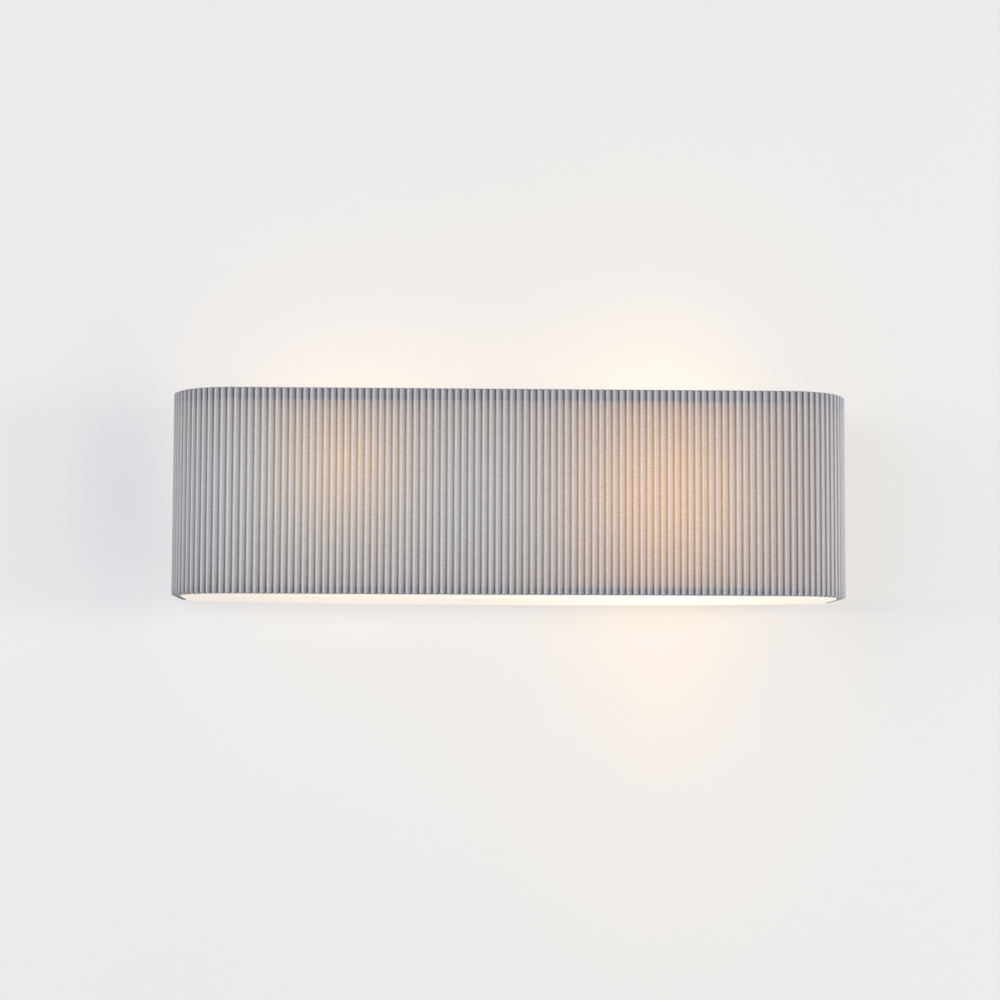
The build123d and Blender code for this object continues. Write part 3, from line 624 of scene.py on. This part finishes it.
def ribbed_skin():
    """The cloth's closed shell, as run, inset, height and the cloth's own coordinates.

    Along the skin each rib is an arc. Up the skin the rows are even, and close up at
    each rim, where the surface turns in along a quarter circle and the valleys end a
    little short of the crests. The back rows lie flat on the liner.
    """
    number = np.arange(rib_count * rib_parts + 1)
    rib = np.minimum(number // rib_parts, rib_count - 1)
    phase = number / rib_parts - rib
    shape = ripple(phase)
    lean = draw.normal(0, lean_spread, rib_count)[rib] * np.sin(math.pi * phase) ** 2
    full = 1 + draw.normal(0, fullness_spread, rib_count)[rib]
    wander = draw.uniform(0, 2 * math.pi, (rib_count, 2))[rib]
    quarter = np.linspace(0, math.pi / 2, 6)
    body = np.linspace(-1, 1, 25) * (shade_height / 2 - rim_round)
    top = body[-1] + (rim_round - rim_setback) * np.sin(quarter[1:])
    turned = rim_round * (1 - np.cos(quarter[1:]))
    height = np.concatenate([-top[::-1], body, top])[None, :]
    inward = np.concatenate([turned[::-1], np.zeros(len(body)), turned])[None, :]
    level = height / (shade_height / 2)
    wave = np.sin(3.1 * level + wander[:, :1]) + 0.6 * np.sin(7.7 * level + wander[:, 1:])
    run = (number * rib_pitch / rib_parts)[:, None] + 0.0 * height
    run = run + lean[:, None] * rib_pitch + wander_size * wave * np.sin(math.pi * phase)[:, None]
    crest = (shape * full)[:, None]
    inset = rib_depth * (1 - crest) + inward
    end = np.clip((np.abs(height) - scallop_start) / scallop_run, 0, 1) ** 3
    height = height - np.sign(height) * end * rim_scallop * (1 - crest)
    back = np.array([1.0, 0.5, 0.0, -0.5, -1.0])[None, :] * (shade_height / 2 - liner_setback)
    back = back + 0 * crest
    cloth_across = (rib + phase)[:, None] * rib_length
    return (
        np.concatenate([run, run[:, :1] + 0 * back], 1),
        np.concatenate([inset, 0 * back + liner_inset], 1),
        np.concatenate([height, back], 1),
        np.concatenate([cloth_across + 0 * height, cloth_across + 0 * back], 1),
        np.concatenate([height, back], 1),
    )


skin = lofted("ribbed_skin", *ribbed_skin())
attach(skin, "shade")
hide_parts("shade_fabric")
rib_count * rib_length

thread = 0.00042
# Painted shade and highlight along each rib, from valley to valley: dark in the valleys, lightest
# left of the crest
rib_shading_tones = [(0.0, 0.22), (0.08, 0.38), (0.20, 0.80), (0.28, 1.0), (0.36, 1.0)]
rib_shading_tones += [(0.46, 0.80), (0.60, 0.62), (0.76, 0.52), (0.90, 0.38), (1.0, 0.22)]

# The lamps' light through the cloth is painted on as a glow. No light comes through at the hems'
# edges. Further in, part of it comes in a short run and the rest in a longer one. The liner's
# even light is weaker towards the shade's ends.
lit_edge, crisp_edge, soft_edge = 0.0557, 0.0532, 0.0465
lit_drop = 0.0015
even_middle, even_reach, even_end = -0.02, 0.145, 0.19


def woven(name, lit):
    """Grey slub cloth. lit says whether the lamps show through it below the hems.

    Its tone follows the rib as painted shade and highlight: darkest in the valleys,
    lightest left of the crest, and a middle grey down the right flank.
    """
    made, root = start(name)
    place = root.node("TexCoord", out="Object")
    cloth = root.node("UVMap", {"uv_map": "cloth"})
    u = root.node("SeparateXYZ", None, {"Vector": cloth}, out="X")
    v = root.node("SeparateXYZ", None, {"Vector": cloth}, out="Y")
    across = root.node("SeparateXYZ", None, {"Vector": place}, out="X")
    level = root.node("SeparateXYZ", None, {"Vector": place}, out="Z")

    def threads(scale_across, scale_up, layer, detail):
        """Noise drawn out into threads by unlike scales across the cloth and up it."""
        drawn = root.node("CombineXYZ", None, {0: u * scale_across, 1: v * scale_up, 2: layer})
        return noise(root, drawn, 1.0, detail)

    weft = threads(260, 1900, 3.0, 2.0)
    warp = threads(2400, 130, 9.0, 1.0)
    slub = threads(70, 900, 5.0, 2.0)
    yarn = weft + 0.4 * warp + 0.5 * slub - 0.45
    phase = (u / rib_length).math("FRACT")
    rib_shading = root.node(
        "ValToRGB",
        {"stops": [(at, (tone, tone, tone)) for at, tone in rib_shading_tones]},
        {"Fac": phase},
    )
    tone = mix(yarn, (0.434, 0.432, 0.469, 1), (0.600, 0.598, 0.648, 1))
    tone = root.node("VectorMath", {"operation": "MULTIPLY"}, {0: tone, 1: rib_shading})
    turn = 2 * math.pi
    weave = (u * (turn / thread)).math("SINE") * (v * (turn / thread)).math("SINE")
    relief = 0.5 * weave + 0.8 * yarn
    inputs = {
        "Base Color": tone,
        "Roughness": 0.86 + 0.10 * warp,
        "Specular IOR Level": 0.15,
        "Sheen Weight": 0.12,
        "Sheen Roughness": 0.6,
        "Sheen Tint": (0.86, 0.88, 0.95, 1),
        "Normal": bump(root, 0.55, 0.00016, relief),
    }
    if lit:
        # Painted light: the lamps' glow through the cloth, given as emission
        glow = summed(
            root,
            scaled(root, falloff(root, place, left_glow), (0.275, 0.120, 0.004)),
            scaled(root, falloff(root, place, right_glow), (0.365, 0.128, -0.030)),
        )
        smooth = {"interpolation_type": "SMOOTHSTEP"}
        aside = (across - even_middle).math("ABSOLUTE")
        inner = root.node("MapRange", smooth, {0: aside, 1: even_reach, 2: even_end, 3: 1.0, 4: 0.45})
        even = (1 - 0.8 * (level / (shade_height / 2)) ** 2) * inner
        glow = summed(root, glow, scaled(root, even, (0.036, 0.082, 0.098)))
        edge = (level + lit_drop).math("ABSOLUTE") + 0.0006 * (weft - 0.5)
        crisp = root.node("MapRange", smooth, {0: edge, 1: lit_edge, 2: crisp_edge})
        soft = root.node("MapRange", None, {0: edge, 1: lit_edge, 2: soft_edge})
        flank = (phase * turn + 1.0).math("COSINE")
        shown = (0.6 * crisp + 0.4 * soft) * (1 + 0.22 * flank) * (0.80 + 0.40 * yarn)
        inputs["Emission Color"] = scaled(root, shown, glow)
        inputs["Emission Strength"] = 1.0
    surface(root, inputs)
    return made


skin.data.materials.append(woven("ribbed_cloth", True))

# ---------------------------------------------------------------------------------------
# Hems: the same cloth, turned in over each ring, gathered a little, and glued to the liner.
wire_inset = 0.0033
ring_level = 0.0587
ring_radius = 0.001
hem_thickness = 0.0003
hem_start = 0.011 - wall_gap
hem_parts = 6
gather_height, gather_level = 0.0003, 0.6


def turned_hem(sign):
    """A hem's closed shell: out over the rim, round the ring and back at 45 degrees.

    The outside of the section is a short rise, a flat top, an arc round the ring and a
    straight run to the liner. The inside is the same path a cloth's thickness within it.
    The outside stands up and down a little with each rib, as gathered cloth does.
    """
    arc = np.radians(np.linspace(90, -45, 10))
    outer_radius = ring_radius + hem_thickness
    outside = [(0.0010, 0.0590), (0.0011, 0.0596), (0.0017, 0.0600), (0.0025, 0.0600)]
    outside += [
        (wire_inset + outer_radius * math.cos(a), ring_level + outer_radius * math.sin(a))
        for a in arc
    ]
    outside += [(0.0034, 0.05695), (0.0024, 0.05595)]
    inside = [(0.0024, 0.0564), (0.0032, 0.0572)]
    inside += [
        (wire_inset + ring_radius * math.cos(a), ring_level + ring_radius * math.sin(a))
        for a in arc[::-1]
    ]
    inside += [(0.0025, 0.0597), (0.0018, 0.0596), (0.0014, 0.0589)]
    section = np.array(outside + inside)
    stations = np.arange(rib_count * hem_parts + 1) * rib_pitch / hem_parts
    keep = (stations > hem_start) & (stations < skin_run - hem_start)
    stations = stations[keep][:, None]
    phase = (stations / rib_pitch) % 1.0
    crest = ripple(phase)
    amount = np.zeros(len(section))
    amount[1:14] = np.concatenate([[0.6, 1, 1], np.linspace(1, 0.25, 10)])
    lift = gather_height * (crest - gather_level) * amount[None, :]
    away = section - np.array([wire_inset, ring_level])
    away = away / np.linalg.norm(away, axis=1)[:, None]
    inset = section[:, 0][None, :] + lift * away[:, 0][None, :]
    height = section[:, 1][None, :] + lift * away[:, 1][None, :]
    down = np.concatenate([[0], np.cumsum(np.linalg.norm(np.diff(section, axis=0), axis=1))])
    run = stations + 0 * inset
    return run, inset, sign * height, run * rib_length / rib_pitch, down[None, :] + 0 * inset


hem_cloth = woven("hem_cloth", False)
for name, sign in (("top_hem", 1), ("bottom_hem", -1)):
    hem = lofted("turned_" + name, *turned_hem(sign))
    hem.data.materials.append(hem_cloth)
    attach(hem, "shade")
    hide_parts(name)

# ---------------------------------------------------------------------------------------
# Diffuser: an opal acrylic tray, vacuum formed, that lies by its lip on the lower hem.
# The lamps' light through it is painted on as a glow, most under the lamps.
tray_sheet, root = start("opal_tray")
place = root.node("TexCoord", out="Object")
haze = noise(root, place, 50.0, 3.0)
# Painted light: pools of the lamps' glow on the tray, given as emission
tray_glow_left = falloff(root, place, (-0.095, -0.060, 0.060, 0.060, 1.3))
tray_glow_right = falloff(root, place, (0.093, -0.060, 0.080, 0.080, 1.3))
pools = summed(
    root,
    scaled(root, tray_glow_left, (0.08, 0.06, 0.02)),
    scaled(root, tray_glow_right, (0.26, 0.30, 0.21)),
)
surface(
    root,
    {
        "Base Color": mix(haze, (0.80, 0.79, 0.76, 1), (0.84, 0.83, 0.80, 1)),
        "Roughness": 0.32 + 0.1 * haze,
        "Emission Color": summed(root, pools, (0.22, 0.14, 0.105)),
        "Emission Strength": 1.0,
        "Normal": bump(root, 0.08, 0.0002, noise(root, place, 160.0)),
    },
)
finish(tray_sheet, "diffuser")
